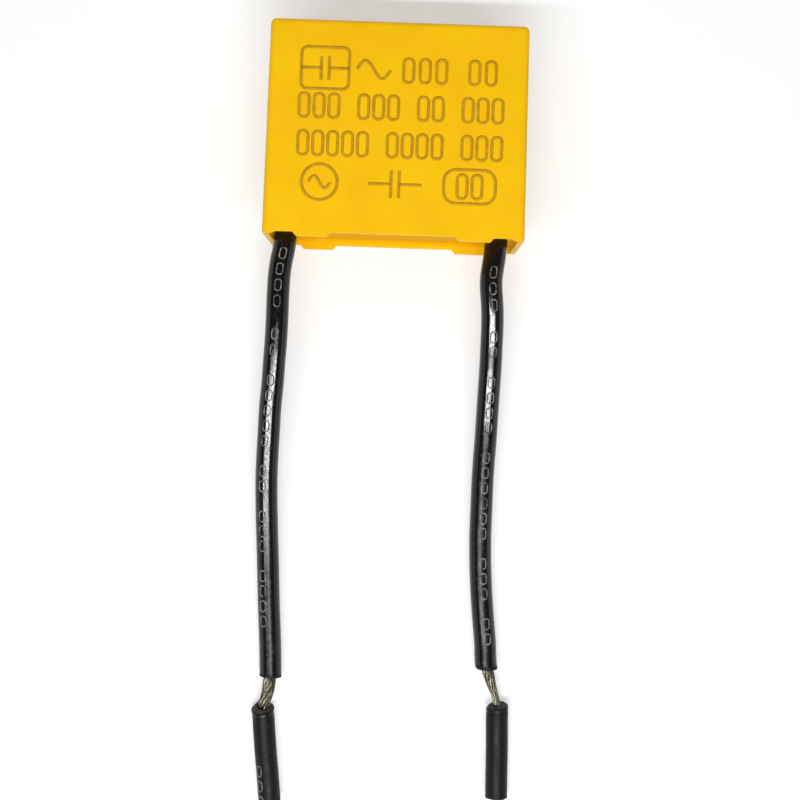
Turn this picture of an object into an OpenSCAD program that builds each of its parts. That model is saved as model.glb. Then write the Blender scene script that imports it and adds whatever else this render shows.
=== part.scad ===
// Film capacitor in a moulded box, lying on its back, with two insulated leads.
// Millimetres. +Z points off the back face, +Y to the closed end of the box, and the
// origin is under the middle of the box, on the surface that it lies on.

/* [Case] */
// Width of the box across its open rim
case_w = 26.5; // [24:0.5:32]
// Height of the box from its feet to its closed end
case_h = 22; // [18:0.5:30]
// Thickness of the box at its open rim
case_t = 13; // [10:0.5:20]
// Thickness of the side walls and of the closed end
wall = 0.6; // [0.4:0.05:1]
// Draft of the moulded walls in degrees
draft = 0.5; // [0.1:0.1:1]
// Radius of the outer edges
edge_r = 0.6; // [0.3:0.05:1]
// Radius of the edges inside the box
inner_r = 0.4; // [0.2:0.05:0.8]

/* [Rim] */
// How far the feet stand out past the notches
foot_h = 0.45; // [0.2:0.05:1]
// Width of the flat on each foot
foot_w = 3.1; // [1.5:0.1:5]
// Sideways run of each slope between two levels of the rim
rim_run = 0.4; // [0.2:0.05:0.8]
// Width of the flat in each lead notch
notch_w = 1.75; // [1:0.05:2.5]
// How far the corners of the rim stop short of the feet
corner_gap = 0.25; // [0.1:0.05:0.4]

/* [Filling] */
// Depth of the resin's surface below the notches
resin_drop = 0.7; // [0.3:0.05:1.2]
// Radius of the meniscus that the resin's surface makes at the walls
meniscus_r = 0.8; // [0.5:0.05:1.2]
// How far the meniscus's curve would pass through the wall
meniscus_bite = 0.15; // [0.1:0.01:0.25]
// Resin between the surface and the winding
potting_depth = 2.5; // [1.5:0.1:4]
// Resin between the winding and the walls
resin_cover = 0.8; // [0.6:0.1:1.5]

/* [Element] */
// Thickness of the sprayed metal on each end of the winding
spray_t = 0.5; // [0.3:0.05:0.8]
// How far the winding and its leads sit left of the middle of the box
element_shift = 0.3; // [0:0.05:0.5]
// Length of each conductor along its end spray, up to the middle of the solder
lead_lap = 8; // [4:0.5:9]
// Radius of each solder joint on the end spray
solder_r = 1.8; // [1.2:0.1:2.5]
// Solder between each conductor and its end spray
solder_film = 0.05; // [0.03:0.01:0.1]
// Solder over the conductor
solder_cover = 0.3; // [0.1:0.05:0.4]

/* [Leads] */
// Outer diameter of the insulation
jacket_d = 2.4; // [1.8:0.1:3]
// Diameter of the stranded conductor
conductor_d = 0.76; // [0.5:0.02:1.1]
// Gap between the left lead and the side wall
jacket_gap = 0.1; // [0.05:0.05:0.5]
// Bare conductor between the insulation and the winding
strip_gap = 0.5; // [0.3:0.1:1]
// How far each conductor runs on past the middle of its solder
solder_reach = 0.9; // [0.5:0.1:1.1]

/* [Hidden] */
$fn = 48;

LEFT = -1;
RIGHT = 1;
// Facets on a rounded edge of the box, and sides of a lead
edge_fn = 32;
lead_sides = 8;
// Reach of a cutting shape past what it cuts
over = 2;

// Levels along Y
feet_y = -case_h / 2;
end_y = case_h / 2;
notch_y = feet_y + foot_h;
resin_y = notch_y + resin_drop;
winding_low_y = resin_y + potting_depth;
winding_high_y = end_y - wall - resin_cover;
weld_y = winding_low_y + lead_lap;
jacket_in_y = winding_low_y - strip_gap;

// Draft: the side walls lean in and the front face falls, and the back face stays flat
function taper(y) = (y - feet_y) * tan(draft);
function half_w(y) = case_w / 2 - taper(y);
function front_z(y) = case_t - 2 * taper(y);

// Leads and element across X and Z
element_x = -element_shift;
pitch = case_w - 2 * (wall + jacket_gap + element_shift) - jacket_d;
lead_z = case_t / 2;
rest_z = jacket_d / 2;
winding_t = case_t - 2 * (wall + resin_cover);
spray_x = pitch / 2 - conductor_d / 2 - solder_film;
winding_l = 2 * (spray_x - spray_t);
function lead_x(side) = element_x + side * pitch / 2;

// Routes of the leads from the feet outwards: sideways from the exit, distance out, and
// height as a share of the drop from the exit to the surface below
jacket_route = [
    [[-0.03, 0, 1], [-0.15, 1, 1], [-0.33, 2, 1], [-0.47, 3.2, 1], [-0.55, 5, 0.99], [-0.58, 7.5, 0.96],
     [-0.65, 10, 0.89], [-0.8, 12.5, 0.8], [-0.95, 15, 0.705], [-1.15, 17.5, 0.61], [-1.25, 20, 0.52],
     [-1.35, 22.5, 0.435], [-1.4, 25, 0.355], [-1.35, 27.5, 0.28], [-1.25, 30, 0.21], [-1.1, 33, 0.14],
     [-0.95, 36, 0.09], [-0.8, 39, 0.055], [-0.6, 42, 0.025], [-0.45, 45, 0.005], [-0.4, 46.6, 0]],
    [[-0.03, 0, 1], [-0.12, 1, 1], [-0.25, 2, 1], [-0.35, 3, 0.995], [-0.33, 4, 0.98], [-0.23, 5, 0.955],
     [-0.12, 6, 0.92], [-0.03, 7.5, 0.855], [0, 10, 0.745], [0, 12.5, 0.63], [-0.05, 15, 0.525],
     [-0.1, 17.5, 0.425], [-0.15, 20, 0.345], [-0.25, 22.5, 0.285], [-0.3, 25, 0.235], [-0.3, 27.5, 0.19],
     [-0.3, 30, 0.145], [-0.2, 33, 0.1], [0, 36, 0.065], [0.3, 39, 0.035], [0.65, 42, 0.01], [0.95, 45, 0]]
];
bare_route = [
    [[-0.45, 47.3, 0], [-0.65, 48.3, 0], [-0.9, 49.2, 0]],
    [[1.2, 45.8, 0], [1.65, 47, 0], [2.05, 48.2, 0]]
];
slug_route = [
    [[-1.05, 49.9, 0], [-0.95, 51.5, 0], [-0.65, 54.5, 0], [-0.3, 57.5, 0], [0, 60.2, 0]],
    [[2.2, 48.9, 0], [2.25, 50.5, 0], [2.35, 53.5, 0], [2.4, 56.5, 0], [2.45, 58.9, 0]]
];

// The whole centre line of one lead, from its solder to its far end
function pick(lists, side) = lists[side == LEFT ? 0 : 1];
function laid(side, route) = [
    for (p = route) [lead_x(side) + p[0], feet_y - p[1], rest_z + p[2] * (lead_z - rest_z)]
];
function straight(side) = [
    for (y = [weld_y + solder_reach, jacket_in_y, notch_y]) [lead_x(side), y, lead_z]
];
function centre_line(side) = concat(
    straight(side),
    laid(side, concat(pick(jacket_route, side), pick(bare_route, side), pick(slug_route, side)))
);

// Places along the centre line where the jacket starts and ends and the slug starts
jacket_first = 1;
function jacket_last(side) = len(straight(side)) + len(pick(jacket_route, side)) - 1;
function slug_first(side) = jacket_last(side) + len(pick(bare_route, side)) + 1;
function lead_last(side) = len(centre_line(side)) - 1;

// One ring of points across a centre line, flat sides up and down, d across the flats,
// and square to the box inside it, where the resin holds the lead
function unit(v) = v / norm(v);
function heading(line, i) =
    line[i][1] >= notch_y ? [0, -1, 0] : unit(line[min(i + 1, len(line) - 1)] - line[i - 1]);
function ring(line, i, d) =
    let (
        ahead = heading(line, i),
        across = unit(cross(ahead, [0, 0, 1])),
        up = cross(across, ahead),
        r = d / 2 / cos(180 / lead_sides)
    )
    [for (k = [0:lead_sides - 1])
        let (a = 360 * (k + 0.5) / lead_sides) line[i] + r * (cos(a) * across + sin(a) * up)];
function rings(line, first, last, d) = [for (i = [first:last]) each ring(line, i, d)];

// Triangles between the rings of a tube, starting at point number s
function tube_sides(s, count) = [
    for (i = [0:count - 2], k = [0:lead_sides - 1])
        let (
            a = s + i * lead_sides + k,
            b = s + i * lead_sides + (k + 1) % lead_sides
        )
        each [[a, b, b + lead_sides], [a, b + lead_sides, a + lead_sides]]
];
function turned(faces) = [for (f = faces) [f[0], f[2], f[1]]];

// A solid tube along a centre line
module rod(line, first, last, d) {
    count = last - first + 1;
    start_cap = [for (k = [lead_sides - 1:-1:0]) k];
    end_cap = [for (k = [0:lead_sides - 1]) (count - 1) * lead_sides + k];
    polyhedron(rings(line, first, last, d), concat([start_cap, end_cap], tube_sides(0, count)));
}

// A hollow tube along a centre line
module sleeve(line, first, last, d, bore) {
    count = last - first + 1;
    inside = count * lead_sides;
    far = (count - 1) * lead_sides;
    ends = [
        for (k = [0:lead_sides - 1])
            let (n = (k + 1) % lead_sides)
            each [
                [n, k, inside + k], [n, inside + k, inside + n],
                [far + k, far + n, inside + far + n], [far + k, inside + far + n, inside + far + k]
            ]
    ];
    points = concat(rings(line, first, last, d), rings(line, first, last, bore));
    polyhedron(points, concat(tube_sides(0, count), turned(tube_sides(inside, count)), ends));
}

// A rounded end that points along +Y, one corner of a box
module dome(r) {
    steps = edge_fn / 4;
    arc = [for (i = [0:steps]) r * [cos(90 * i / steps), sin(90 * i / steps)]];
    rotate([-90, 0, 0]) rotate_extrude($fn = edge_fn) polygon(concat([[0, 0]], arc));
}

// The drafted box set in from the outer faces, from past the rim to far_y
module drafted_box(inset, far_y, r) {
    hull()
        for (side = [LEFT, RIGHT], front = [false, true], open_end = [false, true]) {
            y = open_end ? feet_y - over : far_y - r;
            z = front ? front_z(y) - inset - r : inset + r;
            translate([side * (half_w(y) - inset - r), y, z]) mirror([0, open_end ? 1 : 0, 0]) dome(r);
        }
}

// What lies past the outline of the rim: its middle, feet, lead notches and corners
module below_rim() {
    notch_in = pitch / 2 - notch_w / 2;
    notch_out = pitch / 2 + notch_w / 2;
    foot_out = notch_in - rim_run;
    foot_in = foot_out - foot_w;
    half_rim = [
        [foot_in - rim_run, notch_y], [foot_in, feet_y], [foot_out, feet_y],
        [notch_in, notch_y], [notch_out, notch_y],
        [notch_out + rim_run, feet_y + corner_gap], [case_w, feet_y + corner_gap],
        [case_w, feet_y - 2 * over]
    ];
    other_half = [for (i = [len(half_rim) - 1:-1:0]) [-half_rim[i][0], half_rim[i][1]]];
    translate([0, 0, -over])
        linear_extrude(case_t + 2 * over) polygon(concat(half_rim, other_half));
}

// Outline of the pressed winding, turned to run along X between two places
module pressed_roll(x0, x1) {
    r = winding_t / 2;
    translate([x0, 0, lead_z])
        rotate([90, 0, 90])
            linear_extrude(x1 - x0)
                union() {
                    translate([winding_low_y + r, -r]) square([winding_high_y - winding_low_y - 2 * r, 2 * r]);
                    translate([winding_low_y + r, 0]) circle(r);
                    translate([winding_high_y - r, 0]) circle(r);
                }
}

// A straight stretch of lead inside the box
module straight_lead(side, d, y0, y1) {
    translate([lead_x(side), y1, lead_z])
        rotate([90, 0, 0])
            linear_extrude(y1 - y0)
                rotate(180 / lead_sides) circle(d = d / cos(180 / lead_sides), $fn = lead_sides);
}

module end_spray(side) {
    inner = element_x + side * (spray_x - spray_t);
    outer = element_x + side * spray_x;
    color("lightslategray") pressed_roll(min(inner, outer), max(inner, outer));
}

// A low dome of solder on the left end spray, mirrored to the right one, and sunk into it if asked
module solder_dome(side, sunk = 0) {
    height = solder_film + conductor_d + solder_cover;
    sphere_r = (solder_r * solder_r + height * height) / (2 * height);
    translate([element_x, weld_y, lead_z])
        mirror([side == RIGHT ? 1 : 0, 0, 0])
            intersection() {
                translate([-spray_x - height + sphere_r, 0, 0]) sphere(sphere_r);
                translate([-spray_x - 2 * height, -2 * solder_r, -2 * solder_r])
                    cube([2 * height + sunk, 4 * solder_r, 4 * solder_r]);
            }
}

module solder(side) {
    color("silver")
        difference() {
            solder_dome(side);
            straight_lead(side, conductor_d, resin_y, weld_y + solder_reach);
        }
}

module conductor(side) {
    color("gainsboro") rod(centre_line(side), 0, lead_last(side), conductor_d);
}

module jacket(side) {
    color("#1c1a19") sleeve(centre_line(side), jacket_first, jacket_last(side), jacket_d, conductor_d);
}

module slug(side) {
    color("#1c1a19") sleeve(centre_line(side), slug_first(side), lead_last(side), jacket_d, conductor_d);
}

module case() {
    color("#f8c40f")
        difference() {
            drafted_box(0, end_y, edge_r);
            drafted_box(wall, end_y - wall, inner_r);
            below_rim();
        }
}

module film_winding() {
    color("whitesmoke") pressed_roll(element_x - winding_l / 2, element_x + winding_l / 2);
}

module potting_resin() {
    color("#e09a10")
        difference() {
            drafted_box(wall, end_y - wall, inner_r);
            drafted_box(wall - meniscus_bite, resin_y, meniscus_r);
            pressed_roll(element_x - spray_x, element_x + spray_x);
            for (side = [LEFT, RIGHT]) {
                solder_dome(side, spray_t / 2);
                straight_lead(side, conductor_d, resin_y, weld_y + solder_reach);
                straight_lead(side, jacket_d, feet_y, jacket_in_y);
            }
        }
}

case();
potting_resin();
film_winding();
end_spray(LEFT);  // end_spray_left
end_spray(RIGHT);  // end_spray_right
solder(LEFT);  // solder_left
solder(RIGHT);  // solder_right
conductor(LEFT);  // conductor_left
conductor(RIGHT);  // conductor_right
jacket(LEFT);  // jacket_left
jacket(RIGHT);  // jacket_right
slug(LEFT);  // slug_left
slug(RIGHT);  // slug_right
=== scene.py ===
import math
from types import SimpleNamespace

import bmesh
import bpy
import numpy as np
from mathutils import Matrix, Vector, noise


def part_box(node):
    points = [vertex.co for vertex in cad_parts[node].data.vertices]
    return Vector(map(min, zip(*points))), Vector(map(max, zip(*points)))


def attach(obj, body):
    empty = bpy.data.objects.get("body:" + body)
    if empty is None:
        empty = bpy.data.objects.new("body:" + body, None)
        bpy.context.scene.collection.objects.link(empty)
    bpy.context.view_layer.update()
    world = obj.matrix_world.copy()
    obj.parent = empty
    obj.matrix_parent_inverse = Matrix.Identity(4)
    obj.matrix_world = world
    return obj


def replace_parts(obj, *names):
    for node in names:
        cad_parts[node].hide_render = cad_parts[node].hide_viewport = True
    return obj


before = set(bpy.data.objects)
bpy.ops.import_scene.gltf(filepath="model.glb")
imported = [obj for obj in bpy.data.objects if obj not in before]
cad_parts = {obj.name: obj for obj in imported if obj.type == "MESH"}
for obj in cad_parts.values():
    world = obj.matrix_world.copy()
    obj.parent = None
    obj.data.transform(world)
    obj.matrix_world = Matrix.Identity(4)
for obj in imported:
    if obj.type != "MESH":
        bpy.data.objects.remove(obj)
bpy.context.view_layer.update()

# Film capacitor in a moulded yellow box, lying on its back, with two black insulated leads.
# Lengths are in metres, and MM turns a size in millimetres into metres.
MM = 0.001
BODY = "root"
UP = Vector((0, 0, 1))
LEFT, RIGHT = -1, 1
SIDE_NAMES = {LEFT: "left", RIGHT: "right"}

# The box: its outside comes from the CAD part, and its walls from how it is moulded
case_low, case_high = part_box("case")
FEET_Y = case_low.y
CASE_T = case_high.z
DRAFT = math.tan(math.radians(0.5))
WALL = 0.6 * MM
INNER_R = 0.4 * MM
FOOT_H = 0.45 * MM
NOTCH_Y = FEET_Y + FOOT_H
RIM_EDGE = 0.07 * MM

# The resin's surface: its depth under the notches and its climb at the walls and leads
RESIN_Y = NOTCH_Y + 0.7 * MM
MENISCUS_R = 0.8 * MM
MENISCUS_BITE = 0.15 * MM
COLLAR_H, COLLAR_W = 0.12 * MM, 0.25 * MM

# The leads: insulation, conductor and its strands
JACKET_D = 2.4 * MM
CONDUCTOR_D = 0.76 * MM
STRAND_D = 0.16 * MM
TWIST_LENGTH = 14 * MM
SOLDER_FILM = 0.05 * MM
LEAD_Z = CASE_T / 2
REST_Z = JACKET_D / 2

# The camera looks straight down on the object, which lies a little turned in its picture
EYE = Vector((1.27, -27.12, 157)) * MM
EYE_TURN = math.radians(2)
SENSOR_MM = 36
LENS_MM = 64.56


# Camera
def camera():
    made = bpy.data.objects.new("camera", bpy.data.cameras.new("camera"))
    made.data.sensor_width = SENSOR_MM
    made.data.lens = LENS_MM
    made.data.clip_start = 1 * MM
    made.location = EYE
    made.rotation_euler = (0, 0, EYE_TURN)
    bpy.context.scene.collection.objects.link(made)
    bpy.context.scene.camera = made


# Node trees
def add(tree, kind, inputs=None, **settings):
    """A node with its settings, and with inputs that are linked from a socket or set to a value."""
    made = tree.nodes.new(kind)
    for key, value in settings.items():
        setattr(made, key, value)
    for key, value in (inputs or {}).items():
        if isinstance(value, bpy.types.NodeSocket):
            tree.links.new(value, made.inputs[key])
        else:
            made.inputs[key].default_value = value
    return made


def calc(tree, operation, a, b=0.0):
    """The result of a sum on two numbers."""
    return add(tree, "ShaderNodeMath", {0: a, 1: b}, operation=operation).outputs[0]


def calc_vector(tree, operation, a, b=(0, 0, 0)):
    """The result of a sum on two vectors, or on a vector and a number for SCALE."""
    second = "Scale" if operation == "SCALE" else 1
    return add(tree, "ShaderNodeVectorMath", {0: a, second: b}, operation=operation).outputs[0]


def round_offset(tree, radius, angle, first, second):
    """The way out from a line's middle at an angle that is counted from first towards second."""
    first_part = calc(tree, "MULTIPLY", radius, calc(tree, "COSINE", angle))
    second_part = calc(tree, "MULTIPLY", radius, calc(tree, "SINE", angle))
    return calc_vector(
        tree, "ADD",
        calc_vector(tree, "SCALE", first, first_part),
        calc_vector(tree, "SCALE", second, second_part),
    )


def eased(tree, value, low, high, from_one=False):
    """A smooth step from 0 to 1 between two values, or from 1 to 0."""
    ends = {"To Min": 1.0, "To Max": 0.0} if from_one else {"To Min": 0.0, "To Max": 1.0}
    inputs = {"Value": value, "From Min": low, "From Max": high, **ends}
    return add(tree, "ShaderNodeMapRange", inputs, interpolation_type="SMOOTHSTEP").outputs[0]


def shape_tree(name, inputs):
    """An empty tree for shapes, and its group inputs by name."""
    tree = bpy.data.node_groups.new(name, "GeometryNodeTree")
    tree.interface.new_socket("Geometry", in_out="INPUT", socket_type="NodeSocketGeometry")
    tree.interface.new_socket("Geometry", in_out="OUTPUT", socket_type="NodeSocketGeometry")
    for label, kind in inputs.items():
        tree.interface.new_socket(label, in_out="INPUT", socket_type="NodeSocket" + kind)
    return tree, tree.nodes.new("NodeGroupInput").outputs


def end_tree(tree, shape, finish=None):
    """Ends a tree with real geometry, and with a finish where it has one."""
    shape = add(tree, "GeometryNodeRealizeInstances", {"Geometry": shape}).outputs[0]
    if finish:
        inputs = {"Geometry": shape, "Material": finish}
        shape = add(tree, "GeometryNodeSetMaterial", inputs).outputs[0]
    add(tree, "NodeGroupOutput", {"Geometry": shape})


def use_tree(piece, tree, values):
    """Puts a tree on a piece, with a value for each named input."""
    modifier = piece.modifiers.new(tree.name, "NODES")
    modifier.node_group = tree
    for socket in tree.interface.items_tree:
        if socket.in_out == "INPUT" and socket.name in values:
            modifier[socket.identifier] = values[socket.name]


def made_plain(piece):
    """Turns a piece's finished shape into a plain mesh with no modifier left."""
    graph = bpy.context.evaluated_depsgraph_get()
    plain = bpy.data.meshes.new_from_object(piece.evaluated_get(graph))
    piece.modifiers.clear()
    piece.data = plain
    return piece


# Materials
def srgb(red, green, blue):
    """A colour as it is seen, from 0 to 255, as the linear colour of a shader."""
    def linear(value):
        share = value / 255
        return share / 12.92 if share <= 0.04045 else ((share + 0.055) / 1.055) ** 2.4
    return (linear(red), linear(green), linear(blue), 1)


def material(name, **values):
    """A surface with its constant values on the shader's own sockets."""
    made = bpy.data.materials.new(name)
    made.use_nodes = True
    shader = made.node_tree.nodes["Principled BSDF"]
    for key, value in values.items():
        socket = key.replace("_", " ").title().replace("Ior", "IOR")
        shader.inputs[socket].default_value = value
    return made, made.node_tree, shader


def object_place(tree):
    return add(tree, "ShaderNodeTexCoord").outputs["Object"]


def grain(tree, place, size, detail=3.0, distortion=0.0):
    """Noise with features of about one size, from 0 to 1."""
    inputs = {"Vector": place, "Scale": 1 / size, "Detail": detail, "Distortion": distortion}
    return add(tree, "ShaderNodeTexNoise", inputs).outputs[0]


def stretched_grain(tree, place, sizes, detail=2.0):
    """Noise with a size of its own along each axis, from 0 to 1."""
    scaled = calc_vector(tree, "MULTIPLY", place, tuple(1 / size for size in sizes))
    inputs = {"Vector": scaled, "Scale": 1.0, "Detail": detail}
    return add(tree, "ShaderNodeTexNoise", inputs).outputs[0]


def spread(tree, value, low=0.0, high=1.0, from_low=0.3, from_high=0.7):
    """A noise value stretched to run from low to high."""
    inputs = {
        "Value": value, "From Min": from_low, "From Max": from_high, "To Min": low, "To Max": high,
    }
    return add(tree, "ShaderNodeMapRange", inputs).outputs[0]


def mixed(tree, share, first, second):
    """A colour between two, by share."""
    made = add(tree, "ShaderNodeMix", {0: share, 6: first, 7: second}, data_type="RGBA")
    return made.outputs[2]


def feed(tree, shader, socket, value):
    """Leads a value that changes over the surface to one of the shader's sockets."""
    tree.links.new(value, shader.inputs[socket])


def roughen(tree, shader, height, depth):
    """Bump of a real depth from a height of 0 to 1."""
    bump = add(tree, "ShaderNodeBump", {"Height": height, "Distance": depth, "Strength": 1.0})
    feed(tree, shader, "Normal", bump.outputs[0])


def moulded_plastic():
    """Satin yellow plastic, faintly clouded, with a few darker specks."""
    made, tree, shader = material("yellow moulded plastic", specular_ior_level=0.12)
    deep, pale, dark_speck = srgb(248, 190, 6), srgb(254, 200, 8), srgb(222, 160, 14)
    cloud_size, speck_size, sheen_size = 4 * MM, 0.22 * MM, 1.4 * MM
    satin_size, satin_depth = 0.16 * MM, 0.004 * MM
    place = object_place(tree)
    cloud = spread(tree, grain(tree, place, cloud_size, detail=4))
    speck = grain(tree, place, speck_size, detail=1)
    speck = spread(tree, speck, high=0.5, from_low=0.71, from_high=0.78)
    tint = mixed(tree, speck, mixed(tree, cloud, deep, pale), dark_speck)
    feed(tree, shader, "Base Color", tint)
    rough = spread(tree, grain(tree, place, sheen_size), low=0.36, high=0.47)
    feed(tree, shader, "Roughness", rough)
    roughen(tree, shader, grain(tree, place, satin_size, detail=2), satin_depth)
    return made


def laser_burn():
    """Plastic that a laser has browned, unevenly and with a rough surface."""
    made, tree, shader = material("laser burn", roughness=0.72, specular_ior_level=0.3)
    dark, light = srgb(190, 140, 6), srgb(212, 160, 8)
    fade_size, pit_size, pit_depth = 0.5 * MM, 0.07 * MM, 0.004 * MM
    place = object_place(tree)
    fade = spread(tree, grain(tree, place, fade_size, detail=4))
    feed(tree, shader, "Base Color", mixed(tree, fade, dark, light))
    roughen(tree, shader, grain(tree, place, pit_size), pit_depth)
    return made


def cast_resin():
    """Amber resin with a dull, gently uneven surface."""
    made, tree, shader = material("amber cast resin", specular_ior_level=0.02)
    deep, pale = srgb(246, 176, 8), srgb(251, 187, 12)
    cloud_size, sheen_size = 2.2 * MM, 0.7 * MM
    dimple_size, dimple_depth = 0.6 * MM, 0.02 * MM
    place = object_place(tree)
    cloud = spread(tree, grain(tree, place, cloud_size, detail=4, distortion=0.6))
    feed(tree, shader, "Base Color", mixed(tree, cloud, deep, pale))
    rough = spread(tree, grain(tree, place, sheen_size), low=0.5, high=0.7)
    feed(tree, shader, "Roughness", rough)
    roughen(tree, shader, grain(tree, place, dimple_size, detail=2), dimple_depth)
    return made


# Along Y, the insulation is fresh as far as one place, and fully worn from the other
FRESH_Y, WORN_Y = -26 * MM, -40 * MM


def vinyl(name, smoothest, roughest, specular):
    """Black insulation with fine drawn lines, dust, scuffs, and wear towards the leads' ends."""
    made, tree, shader = material(name, specular_ior_level=specular)
    clean, dusty = srgb(15, 14, 14), srgb(62, 59, 56)
    line_sizes, line_depth = (0.09 * MM, 4 * MM, 1), 0.0015 * MM
    sheen_size, scuff_size, wear_size = 0.9 * MM, 0.35 * MM, 0.5 * MM
    place = object_place(tree)
    dust = grain(tree, place, scuff_size, detail=5)
    dust = spread(tree, dust, high=0.35, from_low=0.62, from_high=0.8)
    feed(tree, shader, "Base Color", mixed(tree, dust, clean, dusty))
    rough = spread(tree, grain(tree, place, sheen_size, detail=4), smoothest, roughest)
    scuff = grain(tree, place, scuff_size, detail=4)
    scuff = spread(tree, scuff, high=0.1, from_low=0.5, from_high=0.7)
    y = add(tree, "ShaderNodeSeparateXYZ", {"Vector": place}).outputs["Y"]
    wear = spread(tree, grain(tree, place, wear_size, detail=5), low=0.02, high=0.11)
    wear = calc(tree, "MULTIPLY", eased(tree, y, WORN_Y, FRESH_Y, from_one=True), wear)
    rough = calc(tree, "ADD", calc(tree, "ADD", rough, scuff), wear)
    feed(tree, shader, "Roughness", rough)
    around_along = add(tree, "ShaderNodeUVMap", uv_map="around_along").outputs[0]
    roughen(tree, shader, stretched_grain(tree, around_along, line_sizes), line_depth)
    return made


def cut_vinyl():
    """The torn brownish inside of the insulation, where it is cut."""
    made, tree, shader = material("cut vinyl", roughness=0.7, specular_ior_level=0.35)
    dark, light = srgb(46, 35, 33), srgb(82, 66, 62)
    tear_size, tear_depth = 0.3 * MM, 0.05 * MM
    torn = grain(tree, object_place(tree), tear_size, detail=5, distortion=1.0)
    feed(tree, shader, "Base Color", mixed(tree, spread(tree, torn), dark, light))
    roughen(tree, shader, torn, tear_depth)
    return made


def lead_print():
    """Grey print that has worn away in patches."""
    made, tree, shader = material("worn grey print", roughness=0.6)
    worn, whole = srgb(54, 51, 49), srgb(146, 141, 137)
    patch_size = 0.5 * MM
    patch = grain(tree, object_place(tree), patch_size, detail=5)
    patch = spread(tree, patch, from_low=0.38, from_high=0.6)
    feed(tree, shader, "Base Color", mixed(tree, patch, worn, whole))
    return made


def tinned_copper():
    """Tinned wire, dull in patches."""
    made, tree, shader = material("tinned copper", metallic=1.0)
    dull, bright = srgb(76, 72, 56), srgb(152, 147, 130)
    patch_size, sheen_size = 0.6 * MM, 0.25 * MM
    place = object_place(tree)
    patch = spread(tree, grain(tree, place, patch_size, detail=4))
    feed(tree, shader, "Base Color", mixed(tree, patch, dull, bright))
    rough = spread(tree, grain(tree, place, sheen_size), low=0.2, high=0.36)
    feed(tree, shader, "Roughness", rough)
    return made


def wound_film():
    """Metallised film whose turns show as fine layers."""
    made, tree, shader = material("wound metallised film", metallic=0.6, roughness=0.3)
    dark, light = srgb(196, 198, 200), srgb(236, 237, 236)
    layer_sizes = (8 * MM, 2 * MM, 0.1 * MM)
    layer = stretched_grain(tree, object_place(tree), layer_sizes)
    feed(tree, shader, "Base Color", mixed(tree, layer, dark, light))
    return made


def rough_metal(name, dark, light, roughness, grain_size, depth):
    """Metal with an uneven cast or sprayed surface."""
    made, tree, shader = material(name, metallic=1.0, roughness=roughness)
    uneven = grain(tree, object_place(tree), grain_size, detail=4)
    feed(tree, shader, "Base Color", mixed(tree, uneven, dark, light))
    roughen(tree, shader, uneven, depth)
    return made


# Pieces
SHARP_ANGLE = math.radians(50)


def new_piece(name, mesh):
    """An object for a finished mesh, with its place in its vertices."""
    made = bpy.data.objects.new(name, mesh)
    bpy.context.scene.collection.objects.link(made)
    return made


def mesh_from(name, verts, edges=(), faces=()):
    mesh = bpy.data.meshes.new(name)
    mesh.from_pydata([tuple(v) for v in verts], list(edges), list(faces))
    return mesh


def finish_node(node, finish):
    """Gives a CAD node that keeps its own shape a finish."""
    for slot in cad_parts[node].material_slots:
        slot.material = finish


# The leads' routes
class Path:
    """A smooth line through some points, with its place and directions at any distance along."""

    STEP = 0.05 * MM
    CHAIN_STEP = 0.2 * MM

    def __init__(self, points):
        """Cubics between the points. Each inner slope is a parabola's through three points."""
        knots = np.array(points, float)
        gap = np.linalg.norm(np.diff(knots, axis=0), axis=1)
        slope = np.diff(knots, axis=0) / gap[:, None]
        inner = slope[:-1] * gap[1:, None] + slope[1:] * gap[:-1, None]
        inner = inner / (gap[:-1] + gap[1:])[:, None]
        tangent = np.concatenate([slope[:1], inner, slope[-1:]])
        line, starts = [knots[:1]], [0]
        for i, length in enumerate(gap):
            t = np.linspace(0, 1, math.ceil(length / self.STEP) + 1)[1:, None]
            line.append(
                (2 * t**3 - 3 * t**2 + 1) * knots[i]
                + (t**3 - 2 * t**2 + t) * length * tangent[i]
                + (3 * t**2 - 2 * t**3) * knots[i + 1]
                + (t**3 - t**2) * length * tangent[i + 1]
            )
            starts.append(starts[-1] + len(t))
        self.line = np.concatenate(line)
        steps = np.linalg.norm(np.diff(self.line, axis=0), axis=1)
        self.along = np.concatenate([[0], np.cumsum(steps)])
        self.knots = self.along[starts]
        self.length = self.along[-1]

    def point(self, s):
        return Vector([np.interp(s, self.along, self.line[:, k]) for k in range(3)])

    def frame(self, s):
        """The centre at a distance, and the directions from there to the picture's left and up."""
        ahead = (self.point(s + self.STEP) - self.point(s - self.STEP)).normalized()
        across = ahead.cross(UP).normalized()
        return self.point(s), across, across.cross(ahead)

    def chain(self, name):
        """The line as a mesh of edges."""
        stops = np.linspace(0, self.length, math.ceil(self.length / self.CHAIN_STEP) + 1)
        points = [self.point(s) for s in stops]
        return mesh_from(name, points, [(i, i + 1) for i in range(len(points) - 1)])


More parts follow.
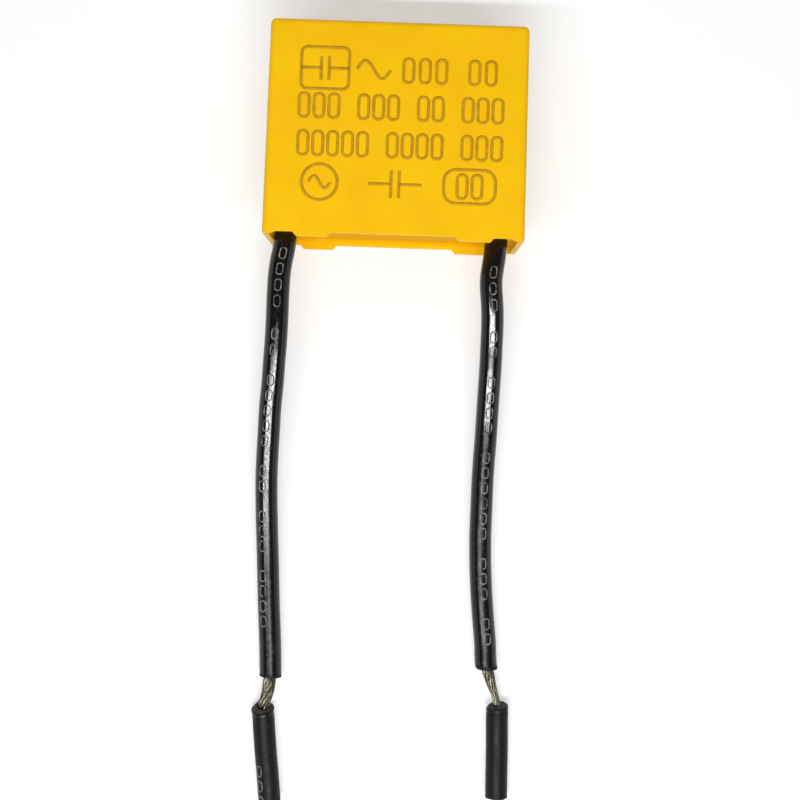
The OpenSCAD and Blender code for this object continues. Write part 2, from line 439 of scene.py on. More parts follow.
# Each point is the way sideways from the exit and the way out from the feet, in millimetres, and
# the height, as a share of the drop from the exit to where the lead lies on the surface below
JACKET_ROUTE = {
    LEFT: [
        (-0.03, 0, 1), (-0.15, 1, 1), (-0.33, 2, 1), (-0.47, 3.2, 1), (-0.55, 5, 0.99),
        (-0.58, 7.5, 0.96), (-0.65, 10, 0.89), (-0.8, 12.5, 0.8), (-0.95, 15, 0.705),
        (-1.15, 17.5, 0.61), (-1.25, 20, 0.52), (-1.35, 22.5, 0.435), (-1.4, 25, 0.355),
        (-1.35, 27.5, 0.28), (-1.25, 30, 0.21), (-1.1, 33, 0.14), (-0.95, 36, 0.09),
        (-0.8, 39, 0.055), (-0.6, 42, 0.025), (-0.45, 45, 0.005), (-0.4, 46.6, 0),
    ],
    RIGHT: [
        (-0.03, 0, 1), (-0.12, 1, 1), (-0.25, 2, 1), (-0.35, 3, 0.995), (-0.33, 4, 0.98),
        (-0.23, 5, 0.955), (-0.12, 6, 0.92), (-0.03, 7.5, 0.855), (0, 10, 0.745),
        (0, 12.5, 0.63), (-0.05, 15, 0.525), (-0.1, 17.5, 0.425), (-0.15, 20, 0.345),
        (-0.25, 22.5, 0.285), (-0.3, 25, 0.235), (-0.3, 27.5, 0.19), (-0.3, 30, 0.145),
        (-0.2, 33, 0.1), (0, 36, 0.065), (0.3, 39, 0.035), (0.65, 42, 0.01), (0.95, 45, 0),
    ],
}
BARE_ROUTE = {
    LEFT: [(-0.45, 47.3, 0), (-0.65, 48.3, 0), (-0.9, 49.2, 0)],
    RIGHT: [(1.2, 45.8, 0), (1.65, 47, 0), (2.05, 48.2, 0)],
}
SLUG_ROUTE = {
    LEFT: [(-1.05, 49.9, 0), (-0.95, 51.5, 0), (-0.65, 54.5, 0), (-0.3, 57.5, 0), (0, 60.2, 0)],
    RIGHT: [(2.2, 48.9, 0), (2.25, 50.5, 0), (2.35, 53.5, 0), (2.4, 56.5, 0), (2.45, 58.9, 0)],
}


def lead(side):
    """One lead's line from its solder to its far end, and where its jacket and slug lie on it."""
    name = SIDE_NAMES[side]
    spray_low, spray_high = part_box("end_spray_" + name)
    spray_face = spray_low.x if side == LEFT else spray_high.x
    x = spray_face + side * (SOLDER_FILM + CONDUCTOR_D / 2)
    straight = [
        Vector((x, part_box("conductor_" + name)[1].y, LEAD_Z)),
        Vector((x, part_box("jacket_" + name)[1].y, LEAD_Z)),
        Vector((x, NOTCH_Y, LEAD_Z)),
    ]
    route = JACKET_ROUTE[side] + BARE_ROUTE[side] + SLUG_ROUTE[side]
    laid = [
        Vector((x + across * MM, FEET_Y - out * MM, REST_Z + share * (LEAD_Z - REST_Z)))
        for across, out, share in route
    ]
    path = Path(straight + laid)
    jacket_end = len(straight) + len(JACKET_ROUTE[side]) - 1
    slug_start = jacket_end + len(BARE_ROUTE[side]) + 1
    return SimpleNamespace(
        side=side, name=name, path=path, exit=straight[-1],
        jacket_from=path.knots[1], jacket_to=path.knots[jacket_end],
        slug_from=path.knots[slug_start], slug_to=path.length,
    )


# Sleeves of insulation, with their cut ends
SLEEVE_SIDES = 40
SLEEVE_STEP = 0.25 * MM
NEAR_CUT, NEAR_STEP = 1.8 * MM, 0.08 * MM
BORE_STEP = 1 * MM
EDGE_STEPS = 4
FACE_RINGS = 4
LIP_REACH = 0.7 * MM

# The order of a sleeve's finishes
SKIN, CUT, EDGE, LIP = 0, 1, 2, 3

# How the ends are cut: their rounded edges, roughness and slopes, how deep the slugs are torn, and
# how far the strands press open the jacket and the slug, as shares of the bore's radius
JACKET_EDGE = {LEFT: 0.1 * MM, RIGHT: 0.22 * MM}
JACKET_ROUGH = 0.06 * MM
JACKET_SKEW = {LEFT: 0, RIGHT: math.tan(math.radians(15))}
JACKET_FLARE = {LEFT: 0.9, RIGHT: 0.7}
SLUG_EDGE = 0.12 * MM
SLUG_ROUGH = 0.1 * MM
SLUG_SLANT = {LEFT: math.tan(math.radians(25)), RIGHT: math.tan(math.radians(9))}
SLUG_TEAR = {LEFT: 0.4 * MM, RIGHT: 0.06 * MM}
SLUG_FLARE = {LEFT: 0.9, RIGHT: 0.1}


def sleeve_section(start, end, edge):
    """The wall's outline as (distance along, radius, which finish starts there), once round."""
    outer, bore = JACKET_D / 2, CONDUCTOR_D / 2
    turn = [math.pi / 2 * i / EDGE_STEPS for i in range(EDGE_STEPS + 1)]
    corner = [(edge * (1 - math.sin(a)), outer - edge * (1 - math.cos(a))) for a in turn]
    face = np.linspace(outer - edge, bore, FACE_RINGS + 1)
    near_cut = np.arange(start + edge + NEAR_STEP, start + NEAR_CUT, NEAR_STEP)
    outside_steps = math.ceil((end - start) / SLEEVE_STEP)
    outside = np.linspace(start + NEAR_CUT, end - edge, outside_steps)[:-1]
    inside = np.linspace(end, start, math.ceil((end - start) / BORE_STEP))[1:-1]
    section = [(start + d, r, EDGE) for d, r in reversed(corner)]
    section += [(s, outer, LIP if s < start + LIP_REACH else SKIN) for s in near_cut]
    section += [(s, outer, SKIN) for s in outside[:-1]]
    section += [(outside[-1], outer, EDGE)]
    section += [(end - d, r, EDGE) for d, r in corner[:-1]]
    section += [(end, r, CUT) for r in face[:-1]]
    section += [(end, bore, SKIN)]
    section += [(s, bore, SKIN) for s in inside]
    section += [(start, r, CUT) for r in face[:0:-1]]
    return section


def sleeve(name, path, section, cut, finishes):
    """A closed sleeve round a path. cut(s, r, angle) gives a point's own distance and radius."""
    built = bmesh.new()
    uv = built.loops.layers.uv.new("around_along")
    rings = []
    for s, r, _ in section:
        ring = []
        for k in range(SLEEVE_SIDES):
            angle = 2 * math.pi * k / SLEEVE_SIDES - math.pi / 2
            own_s, own_r = cut(s, r, angle)
            centre, across, up = path.frame(own_s)
            outward = math.cos(angle) * across + math.sin(angle) * up
            ring.append(built.verts.new(centre + outward * own_r))
        rings.append(ring)
    round_step = math.pi * JACKET_D / SLEEVE_SIDES
    for i, (s, _, part) in enumerate(section):
        following = (i + 1) % len(section)
        next_s = section[following][0]
        for k in range(SLEEVE_SIDES):
            n = (k + 1) % SLEEVE_SIDES
            corners = (rings[i][k], rings[i][n], rings[following][n], rings[following][k])
            face = built.faces.new(corners)
            face.smooth = True
            face.material_index = part
            places = [(k, s), (k + 1, s), (k + 1, next_s), (k, next_s)]
            for loop, (step, along) in zip(face.loops, places):
                loop[uv].uv = (step * round_step, along)
    bmesh.ops.recalc_face_normals(built, faces=built.faces)
    mesh = bpy.data.meshes.new(name)
    built.to_mesh(mesh)
    built.free()
    mesh.set_sharp_from_angle(angle=SHARP_ANGLE)
    for finish in finishes:
        mesh.materials.append(finish)
    return new_piece(name, mesh)


def ragged(angle, seed, waves=1.6):
    """A rough edge's own run round a cut, from about -1 to 1."""
    return noise.noise(Vector((waves * math.cos(angle), waves * math.sin(angle), seed)))


def fading(distance, reach):
    """1 at no distance, falling evenly to 0 at the reach."""
    return max(0, 1 - distance / reach)


def bell(distance, width):
    """1 at no distance, falling smoothly to almost 0 two widths away on both sides."""
    return math.exp(-((distance / width) ** 2))


def plain_cut(start, end, seed, rough, skew=0, flare_start=0, flare_end=0):
    """
    A sleeve with slightly ragged cuts at both ends. The far one may be skew, and is then longer at
    the right. The strands may press the bore open at an end, by a share of its radius.
    """
    reach, skew_reach, flare_reach = 0.5 * MM, 1.5 * MM, 1.2 * MM
    dent, dent_waves = 0.02, 3
    end_seed, start_seed, dent_seed = seed, seed + 5, seed + 9
    outer, bore = JACKET_D / 2, CONDUCTOR_D / 2

    def cut(s, r, angle):
        from_start, from_end = s - start, end - s
        near_start, near_end = fading(from_start, reach), fading(from_end, reach)
        at_start, at_end = ragged(angle, start_seed), ragged(angle, end_seed)
        shift = rough * (near_start * at_start + near_end * at_end)
        shift -= skew * r * math.cos(angle) * fading(from_end, skew_reach)
        flare = flare_start * fading(from_start, flare_reach)
        flare += flare_end * fading(from_end, flare_reach)
        own_r = r + flare * bore * (outer - r) / (outer - bore)
        return s + shift, own_r * (1 + dent * near_end * ragged(angle, dent_seed, dent_waves))
    return cut


def slanted_cut(start, end, seed, rough, slant, tear, flare):
    """A sleeve whose near end is cut on a slant that faces up, and is torn away at the left."""
    slant_reach = 2.6 * MM
    tear_length, tear_edge = 0.22 * MM, 0.05 * MM
    tear_angle, tear_width, tear_fade = -0.25, 0.75, 0.05
    lip_width, lip_share = 0.16 * MM, 0.3
    nick, nick_width, nick_depth = 0.55 * MM, 0.1 * MM, 0.03 * MM
    outer, bore = JACKET_D / 2, CONDUCTOR_D / 2
    skin_from = 0.9 * outer
    square = plain_cut(start, end, seed, rough, flare_start=flare)

    def cut(s, r, angle):
        own_s, own_r = square(s, r, angle)
        from_cut = s - start
        own_s += slant * r * math.sin(angle) * fading(from_cut, slant_reach)
        depth = (r - bore) / (outer - bore)
        at_left = max(0, bell(angle - tear_angle, tear_width) - tear_fade) * depth
        torn = 1 / (1 + math.exp((from_cut - tear_length) / tear_edge))
        lip = bell(from_cut - tear_length - lip_width, lip_width)
        own_r += tear * at_left * (lip_share * lip - torn)
        if r > skin_from:
            own_r -= nick_depth * bell(from_cut - nick, nick_width)
        return own_s, own_r
    return cut


# Strands: one in the middle and two layers round it, the outer of which is pressed in a little
INNER_STRANDS = 6
OUTER_STRANDS = 10
STRANDS = 1 + INNER_STRANDS + OUTER_STRANDS
OUTER_LAYER = 0.94
STRAND_SIDES = 8

# How far the bare strands swell, how loosely they lie, and the places where they start to open, are
# open, start to shut and are shut, in millimetres past the jacket's cut
OPENING = {LEFT: 0.95, RIGHT: 0.75}
LOOSENESS = {LEFT: 0.2 * MM, RIGHT: 0.06 * MM}
OPENED = {LEFT: (-1.2, 0.3, 3.1, 4.6), RIGHT: (-1.2, 0.1, 0.2, 3.4)}


def strand_tree():
    """Strands twisted round a path, which open out over one stretch of it."""
    least_swell, most_swell = 0.7, 1.3
    wander_length, wander_gap = 3 * MM, 3.7
    tree, given = shape_tree("twisted strands", {
        "Strand diameter": "Float", "Twist length": "Float", "Open from": "Float",
        "Open at": "Float", "Shut from": "Float", "Shut at": "Float", "Opening": "Float",
        "Looseness": "Float", "Seed": "Int", "Material": "Material",
    })
    path = add(tree, "GeometryNodeMeshToCurve", {"Mesh": given["Geometry"]}).outputs[0]
    copies = add(
        tree, "GeometryNodeDuplicateElements", {"Geometry": path, "Amount": STRANDS},
        domain="SPLINE",
    )
    number = copies.outputs["Duplicate Index"]
    along = add(tree, "GeometryNodeSplineParameter").outputs["Length"]
    in_layer = calc(tree, "GREATER_THAN", number, 0.5)
    outermost = calc(tree, "GREATER_THAN", number, INNER_STRANDS + 0.5)
    per_turn = calc(tree, "MULTIPLY", outermost, 1 / OUTER_STRANDS - 1 / INNER_STRANDS)
    turns = calc(tree, "MULTIPLY", number, calc(tree, "ADD", per_turn, 1 / INNER_STRANDS))
    turns = calc(tree, "ADD", turns, calc(tree, "DIVIDE", along, given["Twist length"]))
    angle = calc(tree, "MULTIPLY", turns, 2 * math.pi)
    layers = calc(tree, "ADD", in_layer, calc(tree, "MULTIPLY", outermost, OUTER_LAYER))
    radius = calc(tree, "MULTIPLY", layers, given["Strand diameter"])
    opened = calc(
        tree, "MULTIPLY",
        eased(tree, along, given["Open from"], given["Open at"]),
        eased(tree, along, given["Shut from"], given["Shut at"], from_one=True),
    )
    chance = add(
        tree, "FunctionNodeRandomValue",
        {"Min": least_swell, "Max": most_swell, "ID": number, "Seed": given["Seed"]},
    ).outputs["Value"]
    swell = calc(tree, "MULTIPLY", calc(tree, "MULTIPLY", opened, given["Opening"]), chance)
    radius = calc(tree, "MULTIPLY", radius, calc(tree, "ADD", swell, 1.0))
    normal = add(tree, "GeometryNodeInputNormal").outputs[0]
    tangent = add(tree, "GeometryNodeInputTangent").outputs[0]
    across = calc_vector(tree, "CROSS_PRODUCT", tangent, normal)
    round_place = round_offset(tree, radius, angle, normal, across)
    seeded = calc(tree, "ADD", calc(tree, "MULTIPLY", number, wander_gap), given["Seed"])
    run = calc(tree, "DIVIDE", along, wander_length)
    wander = add(tree, "ShaderNodeCombineXYZ", {0: run, 1: seeded}).outputs[0]
    wander = add(
        tree, "ShaderNodeTexNoise", {"Vector": wander, "Scale": 1.0, "Detail": 1.0},
    ).outputs["Color"]
    wander = calc_vector(tree, "SUBTRACT", wander, (0.5, 0.5, 0.5))
    loose = calc(tree, "MULTIPLY", opened, given["Looseness"])
    offset = calc_vector(tree, "ADD", round_place, calc_vector(tree, "SCALE", wander, loose))
    inputs = {"Geometry": copies.outputs[0], "Offset": offset}
    moved = add(tree, "GeometryNodeSetPosition", inputs).outputs[0]
    inputs = {
        "Resolution": STRAND_SIDES,
        "Radius": calc(tree, "MULTIPLY", given["Strand diameter"], 0.5),
    }
    wire = add(tree, "GeometryNodeCurvePrimitiveCircle", inputs).outputs[0]
    inputs = {"Curve": moved, "Profile Curve": wire, "Fill Caps": True}
    shape = add(tree, "GeometryNodeCurveToMesh", inputs).outputs[0]
    end_tree(tree, shape, given["Material"])
    return tree


def strands(wire, tree, finish, seed):
    """A lead's strands, which open out in the stripped gap."""
    side = wire.side
    stretch = [wire.jacket_to + distance * MM for distance in OPENED[side]]
    open_from, open_at, shut_from, shut_at = stretch
    made = new_piece("strands_" + wire.name, wire.path.chain("strands"))
    use_tree(made, tree, {
        "Strand diameter": STRAND_D, "Twist length": TWIST_LENGTH,
        "Open from": open_from, "Open at": open_at, "Shut from": shut_from, "Shut at": shut_at,
        "Opening": OPENING[side], "Looseness": LOOSENESS[side], "Seed": seed, "Material": finish,
    })
    made_plain(made)
    made.data.shade_smooth()
    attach(made, BODY)
    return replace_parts(made, "conductor_" + wire.name)


# Marks: lines that are burnt or printed as thin ribbons, and rows of blank digits
CORNER_STEPS = 6


def mark_tree():
    """Ribbons along a flat drawing's edges, and a round-cornered blank digit at each lone point."""
    tree, given = shape_tree("ribbon marks", {
        "Stroke": "Float", "Thickness": "Float", "Digit width": "Float", "Digit height": "Float",
        "Digit corner": "Float", "Material": "Material",
    })
    section = add(
        tree, "GeometryNodeCurvePrimitiveQuadrilateral",
        {"Width": given["Stroke"], "Height": given["Thickness"]},
    ).outputs[0]
    outline = add(
        tree, "GeometryNodeCurvePrimitiveQuadrilateral",
        {"Width": given["Digit width"], "Height": given["Digit height"]},
    ).outputs[0]
    digit = add(
        tree, "GeometryNodeFilletCurve",
        {"Curve": outline, "Radius": given["Digit corner"], "Count": CORNER_STEPS}, mode="POLY",
    ).outputs[0]
    drawn = add(tree, "GeometryNodeMeshToCurve", {"Mesh": given["Geometry"]}).outputs[0]

    def ribbon(line):
        flat = add(tree, "GeometryNodeSetCurveNormal", {"Curve": line}, mode="Z_UP").outputs[0]
        inputs = {"Curve": flat, "Profile Curve": section, "Fill Caps": True}
        return add(tree, "GeometryNodeCurveToMesh", inputs).outputs[0]

    neighbours = add(tree, "GeometryNodeInputMeshVertexNeighbors").outputs["Vertex Count"]
    lone = add(
        tree, "FunctionNodeCompare", {2: neighbours, 3: 0}, data_type="INT", operation="EQUAL",
    ).outputs[0]
    digits = add(
        tree, "GeometryNodeInstanceOnPoints",
        {"Points": given["Geometry"], "Selection": lone, "Instance": ribbon(digit)},
    ).outputs[0]
    joined = add(tree, "GeometryNodeJoinGeometry", {"Geometry": digits})
    tree.links.new(ribbon(drawn), joined.inputs[0])
    end_tree(tree, joined.outputs[0], given["Material"])
    return tree


class Drawing:
    """Strokes and digit centres on a flat sheet, in millimetres."""

    ARC_STEPS = 8
    WAVE_STEPS = 16

    def __init__(self):
        self.points, self.edges = [], []

    def stroke(self, points, closed=False):
        first, count = len(self.points), len(points)
        self.points += points
        joins = count if closed else count - 1
        self.edges += [(first + i, first + (i + 1) % count) for i in range(joins)]

    def digits(self, row, left, y, pitch):
        """A row of blank digits: each 0 in the row is one, and each space is a gap."""
        self.points += [(left + i * pitch, y) for i, sign in enumerate(row) if sign == "0"]

    def frame(self, x, y, width, height, corner):
        reach_x, reach_y = width / 2 - corner, height / 2 - corner
        centres = [
            (reach_x, reach_y), (-reach_x, reach_y), (-reach_x, -reach_y), (reach_x, -reach_y),
        ]
        outline = []
        for quarter, (cx, cy) in enumerate(centres):
            for i in range(self.ARC_STEPS + 1):
                a = math.pi / 2 * (quarter + i / self.ARC_STEPS)
                outline.append((x + cx + corner * math.cos(a), y + cy + corner * math.sin(a)))
        self.stroke(outline, closed=True)

    def wave(self, x, y, length, height):
        shares = [i / self.WAVE_STEPS for i in range(self.WAVE_STEPS + 1)]
        self.stroke([
            (x + length * (share - 0.5), y + height / 2 * math.sin(2 * math.pi * share))
            for share in shares
        ])

    def plates(self, x, y, reach, height, gap):
        """The sign for a capacitor: two plates and their leads."""
        for side in (LEFT, RIGHT):
            plate = x + side * gap / 2
            self.stroke([(plate, y - height / 2), (plate, y + height / 2)])
            self.stroke([(plate, y), (x + side * reach / 2, y)])

    def mesh(self, name):
        return mesh_from(name, [(x * MM, y * MM, 0) for x, y in self.points], self.edges)


def face_drawing():
    """Plain signs and blank digits in four rows, round the middle of the box's front face."""
    first, second, third, fourth = 6, 2.2, -1.6, -5.5
    left, pitch, wide_pitch = -9.4, 1.5, 1.66
    made = Drawing()
    made.frame(-7.4, first, width=4.8, height=4.2, corner=0.6)
    made.plates(-7.4, first, reach=4.8, height=2.4, gap=0.8)
    made.wave(-2.5, first, length=3.4, height=1.8)
    made.digits("000 00", 1, first, wide_pitch)
    made.digits("000 000 00 000", left, second, pitch)
    made.digits("00000 0000 000", left, third, pitch)
    made.frame(-7.6, fourth, width=3.6, height=3.6, corner=1.79)
    made.wave(-7.6, fourth, length=2.2, height=1.2)
    made.plates(0, fourth, reach=5.4, height=2.8, gap=0.8)
    made.frame(7.5, fourth, width=5.2, height=3.4, corner=1.2)
    made.digits("00", 6.75, fourth, pitch)
    return made


def laser_marks(tree, finish):
    """The marks on the front face, which falls by twice the draft towards the closed end."""
    made = new_piece("laser_marks", face_drawing().mesh("laser_marks"))
    use_tree(made, tree, {
        "Stroke": 0.32 * MM, "Thickness": 0.016 * MM, "Digit width": 1.0 * MM,
        "Digit height": 2.4 * MM, "Digit corner": 0.46 * MM, "Material": finish,
    })
    made_plain(made)
    fall = -2 * DRAFT
    middle = Matrix.Translation((0, 0, CASE_T - fall * FEET_Y))
    made.data.transform(middle @ Matrix.Rotation(math.atan(fall), 4, "X"))
    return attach(made, BODY)


# The print on the leads: rows of digits, each with its start in millimetres from the lead's inner
# end, the angle round the lead at that end, counted from the left, and how fast the angle changes
PRINT_ROWS = {
    LEFT: [(13.8, "0000 00 00000 00 000 0000"), (69.8, "000")],
    RIGHT: [(15, "000 00 0000 000000 000 00")],
}
PRINT_PITCH = 1.65
PRINT_ANGLE = {LEFT: math.radians(107), RIGHT: math.radians(93)}
PRINT_TURN = {LEFT: math.radians(-44) / (50 * MM), RIGHT: math.radians(8) / (50 * MM)}


def wrap_tree():
    """Bends flat marks round a lead: X runs along the lead, and Y round it."""
    tree, given = shape_tree("wrapped marks", {
        "Lead": "Object", "Radius": "Float", "Start angle": "Float", "Turn": "Float",
    })
    track = add(tree, "GeometryNodeObjectInfo", {"Object": given["Lead"]}).outputs["Geometry"]
    path = add(tree, "GeometryNodeMeshToCurve", {"Mesh": track}).outputs[0]
    position = add(tree, "GeometryNodeInputPosition").outputs[0]
    flat = add(tree, "ShaderNodeSeparateXYZ", {0: position}).outputs
    sample = add(
        tree, "GeometryNodeSampleCurve", {"Curves": path, "Length": flat["X"]}, mode="LENGTH",
    ).outputs
    across = calc_vector(tree, "CROSS_PRODUCT", sample["Tangent"], tuple(UP))
    across = calc_vector(tree, "NORMALIZE", across)
    up = calc_vector(tree, "CROSS_PRODUCT", across, sample["Tangent"])
    turned = calc(tree, "MULTIPLY", given["Turn"], flat["X"])
    angle = calc(tree, "ADD", given["Start angle"], turned)
    angle = calc(tree, "ADD", angle, calc(tree, "DIVIDE", flat["Y"], given["Radius"]))
    radius = calc(tree, "ADD", given["Radius"], flat["Z"])
    place = round_offset(tree, radius, angle, across, up)
    place = calc_vector(tree, "ADD", place, sample["Position"])
    inputs = {"Geometry": given["Geometry"], "Position": place}
    end_tree(tree, add(tree, "GeometryNodeSetPosition", inputs).outputs[0])
    return tree


def lead_marks(wire, marks, wrap, finish):
    """Rows of blank digits printed along a lead."""
    drawing = Drawing()
    for start, row in PRINT_ROWS[wire.side]:
        drawing.digits(row, start, 0, PRINT_PITCH)
    made = new_piece("print_" + wire.name, drawing.mesh("print"))
    track = new_piece("track_" + wire.name, wire.path.chain("track"))
    use_tree(made, marks, {
        "Stroke": 0.13 * MM, "Thickness": 0.012 * MM, "Digit width": 1.15 * MM,
        "Digit height": 0.66 * MM, "Digit corner": 0.3 * MM, "Material": finish,
    })
    use_tree(made, wrap, {
        "Lead": track, "Radius": JACKET_D / 2,
        "Start angle": PRINT_ANGLE[wire.side], "Turn": PRINT_TURN[wire.side],
    })
    made_plain(made)
    bpy.data.objects.remove(track)
    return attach(made, BODY)


# The box and its resin
def case_shell(finish):
    """The box as moulded, with its rim's edges a little rounded."""
    weld, flat, rim_angle = 0.001 * MM, math.radians(0.5), math.radians(35)
    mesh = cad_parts["case"].data.copy()
    mesh.materials.clear()
    mesh.materials.append(finish)
    built = bmesh.new()
    built.from_mesh(mesh)
    bmesh.ops.remove_doubles(built, verts=built.verts, dist=weld)
    bmesh.ops.dissolve_limit(built, angle_limit=flat, verts=built.verts, edges=built.edges)
    for face in built.faces:
        face.smooth = True
        face.material_index = 0
    built.to_mesh(mesh)
    built.free()
    made = new_piece("case_shell", mesh)
    bevel = made.modifiers.new("rim edge", "BEVEL")
    bevel.width = RIM_EDGE
    bevel.segments = 3
    bevel.limit_method = "ANGLE"
    bevel.angle_limit = rim_angle
    bevel.use_clamp_overlap = False
    even = made.modifiers.new("even normals", "WEIGHTED_NORMAL")
    even.weight = 100
    made_plain(made)
    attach(made, BODY)
    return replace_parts(made, "case")


def resin_skin(finish, leads):
    """The resin's cured skin, which climbs the walls and the leads."""
    step, sink, into_wall = 0.15 * MM, 0.15 * MM, 0.05 * MM
    ripple_depth, wide_ripple, narrow_ripple, narrow_share = 0.03 * MM, 1.6 * MM, 0.6 * MM, 0.5
    steepest = MENISCUS_R - 0.05 * MM
    half_w = case_high.x - WALL
    low_z, high_z = WALL, CASE_T - WALL
    middle_z = (low_z + high_z) / 2
    half_z = (high_z - low_z) / 2

    def climb(x, z):
        px, pz = abs(x) - half_w + INNER_R, abs(z - middle_z) - half_z + INNER_R
        from_wall = INNER_R - math.hypot(max(px, 0), max(pz, 0)) - min(max(px, pz), 0)
        into = min(max(MENISCUS_R - MENISCUS_BITE - from_wall, 0), steepest)
        height = MENISCUS_R - math.sqrt(MENISCUS_R**2 - into**2)
        for wire in leads:
            gap = max(math.hypot(x - wire.exit.x, z - wire.exit.z) - JACKET_D / 2, 0)
            height = max(height, COLLAR_H * math.exp(-gap / COLLAR_W), 0)
        ripple = noise.noise(Vector((x, z, 0)) / wide_ripple)
        ripple += narrow_share * noise.noise(Vector((x, z, 1)) / narrow_ripple)
        return height + ripple_depth * ripple

    xs = np.linspace(-half_w - into_wall, half_w + into_wall, math.ceil(2 * half_w / step))
    zs = np.linspace(low_z - into_wall, high_z + into_wall, math.ceil(2 * half_z / step))
    top = [(x, RESIN_Y - climb(x, z), z) for x in xs for z in zs]
    under = [(x, RESIN_Y + sink, z) for x in xs for z in zs]
    rows, columns, count = len(xs), len(zs), len(xs) * len(zs)
    faces = []
    for i in range(rows - 1):
        for j in range(columns - 1):
            a, b = i * columns + j, (i + 1) * columns + j
            faces.append((a, b, b + 1, a + 1))
            faces.append((count + a, count + a + 1, count + b + 1, count + b))
    last = (rows - 1) * columns
    rim = [(i * columns, (i + 1) * columns) for i in range(rows - 1)]
    rim += [(last + j, last + j + 1) for j in range(columns - 1)]
    rim += [((i + 2) * columns - 1, (i + 1) * columns - 1) for i in range(rows - 1)]
    rim += [(j + 1, j) for j in range(columns - 1)]
    faces += [(b, a, count + a, count + b) for a, b in rim]
    mesh = mesh_from("resin_skin", top + under, faces=faces)
    mesh.materials.append(finish)
    mesh.shade_smooth()
    mesh.set_sharp_from_angle(angle=SHARP_ANGLE)
    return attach(new_piece("resin_skin", mesh), BODY)


# The floor is pale paper. It also glows where it is seen, and more so far from the object
FLOOR_R, FLOOR_SIDES = 3.0, 64
FLOOR_DROP = 0.01 * MM
PAPER = (0.6, 0.6, 0.6, 1)
WHITE = (1, 1, 1, 1)
NEAR_GLOW, FAR_GLOW = 0.44, 0.88
GLOW_FROM, GLOW_TO = 150 * MM, 1500 * MM

# The world lights evenly, and shows as a white wall below a dim ceiling
SKY = 0.24
WALL_GLOW, CEILING_GLOW = 1, 0.1
WALL_TOP, CEILING_FROM = math.radians(17), math.radians(24)

# The strip light lies across the picture, high up beyond the leads' ends, and aims at a place
# on the left of the leads
STRIP_AIM = Vector((-60, -42, 2)) * MM
STRIP_REACH = 1500 * MM
STRIP_TILT = math.radians(23)


def seen(tree, strength):
    """A strength for what the camera sees, also in a shine or through a pane, and 0 otherwise."""
    rays = add(tree, "ShaderNodeLightPath").outputs
    shown = calc(tree, "MAXIMUM", rays["Is Camera Ray"], rays["Is Glossy Ray"])
    shown = calc(tree, "MAXIMUM", shown, rays["Is Transmission Ray"])
    return calc(tree, "MULTIPLY", shown, strength)


def floor():
    built = bmesh.new()
    bmesh.ops.create_circle(built, cap_ends=True, segments=FLOOR_SIDES, radius=FLOOR_R)
    mesh = bpy.data.meshes.new("floor")
    built.to_mesh(mesh)
    built.free()
    mesh.transform(Matrix.Translation((0, 0, -FLOOR_DROP)))
    made = bpy.data.objects.new("floor", mesh)
    bpy.context.scene.collection.objects.link(made)
    finish = bpy.data.materials.new("pale floor")
    finish.use_nodes = True
    tree = finish.node_tree
    tree.nodes.clear()
    paper = add(tree, "ShaderNodeBsdfDiffuse", {"Color": PAPER}).outputs[0]
    away = add(
        tree, "ShaderNodeVectorMath", {0: object_place(tree)}, operation="LENGTH",
    ).outputs["Value"]
    far = eased(tree, away, GLOW_FROM, GLOW_TO)
    bright = calc(tree, "ADD", calc(tree, "MULTIPLY", far, FAR_GLOW - NEAR_GLOW), NEAR_GLOW)
    inputs = {"Color": WHITE, "Strength": seen(tree, bright)}
    glow = add(tree, "ShaderNodeEmission", inputs).outputs[0]
    both = add(tree, "ShaderNodeAddShader", {0: paper, 1: glow}).outputs[0]
    add(tree, "ShaderNodeOutputMaterial", {"Surface": both})
    mesh.materials.append(finish)


def panel(name, size, energy, place, tilt):
    """
    A flat light, unseen itself, that shines down. It tilts towards the top of the picture, or
    towards the bottom where the tilt is less than 0.
    """
    lamp = bpy.data.lights.new(name, "AREA")
    lamp.shape = "RECTANGLE"
    lamp.size, lamp.size_y = size
    lamp.energy = energy
    made = bpy.data.objects.new(name, lamp)
    made.location = place
    made.rotation_euler = (tilt, 0, 0)
    made.visible_camera = False
    bpy.context.scene.collection.objects.link(made)


def light():
    world = bpy.data.worlds.new("studio")
    bpy.context.scene.world = world
    world.use_nodes = True
    tree = world.node_tree
    direction = add(tree, "ShaderNodeTexCoord").outputs["Generated"]
    height = add(tree, "ShaderNodeSeparateXYZ", {0: direction}).outputs["Z"]
    wall = eased(tree, height, math.sin(WALL_TOP), math.sin(CEILING_FROM), from_one=True)
    wall = calc(tree, "MULTIPLY", wall, WALL_GLOW - CEILING_GLOW)
    backdrop = calc(tree, "ADD", wall, CEILING_GLOW)
    shown = calc(tree, "MULTIPLY", seen(tree, 1), calc(tree, "SUBTRACT", backdrop, SKY))
    background = tree.nodes["Background"]
    tree.links.new(calc(tree, "ADD", shown, SKY), background.inputs["Strength"])
    background.inputs["Color"].default_value = WHITE
    strip_way = Vector((0, -math.sin(STRIP_TILT), math.cos(STRIP_TILT)))
    panel(
        "strip light", size=(1500 * MM, 60 * MM), energy=14.8,
        place=STRIP_AIM + STRIP_REACH * strip_way, tilt=STRIP_TILT,
    )
    panel(
        "fill light", size=(40 * MM, 80 * MM), energy=0.04,
        place=Vector((0, -80, 100)) * MM, tilt=math.radians(40),
    )
    panel(
        "back light", size=(800 * MM, 120 * MM), energy=0.33,
        place=Vector((0, 320, 75)) * MM, tilt=math.radians(-80),
    )


# The object, from its leads to its box
LEAD_SEED = {LEFT: 19, RIGHT: 21}
SLUG_SEED = {LEFT: 22, RIGHT: 24}
CORD_POINTS = 120

camera()
light()
floor()
bpy.context.scene.view_settings.view_transform = "Standard"

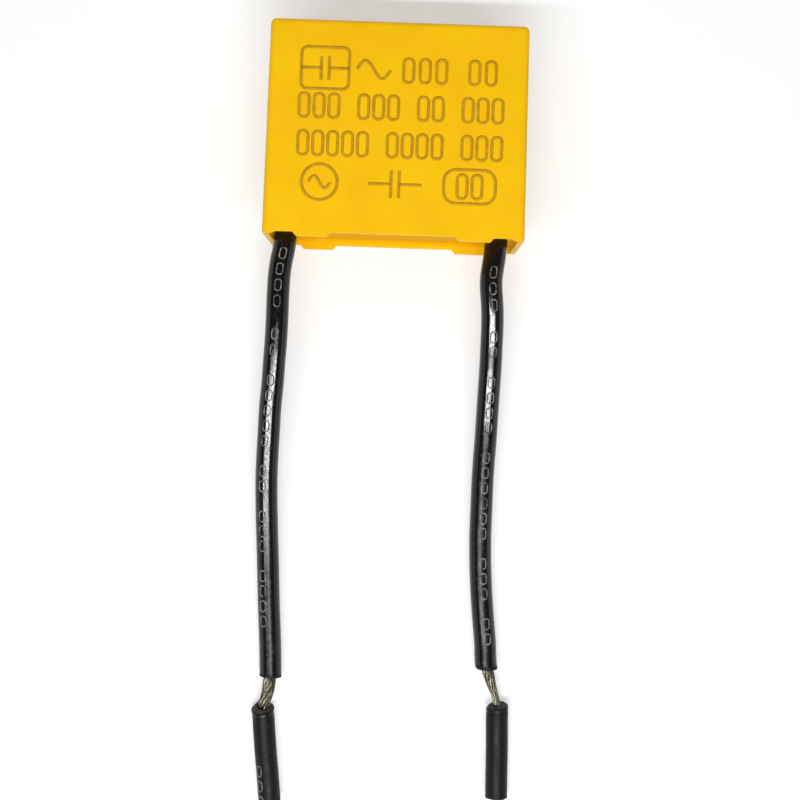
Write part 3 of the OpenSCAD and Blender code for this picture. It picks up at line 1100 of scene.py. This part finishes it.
black = vinyl("black vinyl", smoothest=0.08, roughest=0.15, specular=0.42)
cut_black = cut_vinyl()
scuffed = vinyl("scuffed black vinyl", smoothest=0.35, roughest=0.47, specular=0.22)
satin = vinyl("satin black vinyl", smoothest=0.2, roughest=0.28, specular=0.3)
slug_lip = {LEFT: satin, RIGHT: scuffed}
tin, grey_print = tinned_copper(), lead_print()
leads = [lead(LEFT), lead(RIGHT)]
marks, wrap = mark_tree(), wrap_tree()
twist = strand_tree()

for wire in leads:
    side = wire.side
    jacket = sleeve(
        "jacket_sleeve_" + wire.name, wire.path,
        sleeve_section(wire.jacket_from, wire.jacket_to, JACKET_EDGE[side]),
        plain_cut(
            wire.jacket_from, wire.jacket_to, LEAD_SEED[side], JACKET_ROUGH,
            skew=JACKET_SKEW[side], flare_end=JACKET_FLARE[side],
        ),
        (black, cut_black, scuffed, black),
    )
    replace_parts(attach(jacket, BODY), "jacket_" + wire.name)
    slug = sleeve(
        "end_slug_" + wire.name, wire.path,
        sleeve_section(wire.slug_from, wire.slug_to, SLUG_EDGE),
        slanted_cut(
            wire.slug_from, wire.slug_to, SLUG_SEED[side], SLUG_ROUGH,
            slant=SLUG_SLANT[side], tear=SLUG_TEAR[side], flare=SLUG_FLARE[side],
        ),
        (scuffed, cut_black, scuffed, slug_lip[side]),
    )
    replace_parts(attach(slug, BODY), "slug_" + wire.name)
    bare = strands(wire, twist, tin, LEAD_SEED[side])
    printed = lead_marks(wire, marks, wrap, grey_print)
    stops = np.linspace(wire.jacket_from, wire.jacket_to, CORD_POINTS)
    [wire.path.point(s) for s in stops]

resin = cast_resin()
case_shell(moulded_plastic())
resin_skin(resin, leads)
laser_marks(marks, laser_burn())
finish_node("potting_resin", resin)
finish_node("film_winding", wound_film())
zinc = rough_metal(
    "sprayed zinc", dark=srgb(120, 122, 126), light=srgb(176, 178, 180), roughness=0.6,
    grain_size=0.25 * MM, depth=0.05 * MM,
)
solder = rough_metal(
    "solder", dark=srgb(190, 190, 186), light=srgb(214, 213, 208), roughness=0.35,
    grain_size=0.5 * MM, depth=0.01 * MM,
)
for wire in leads:
    finish_node("end_spray_" + wire.name, zinc)
    finish_node("solder_" + wire.name, solder)
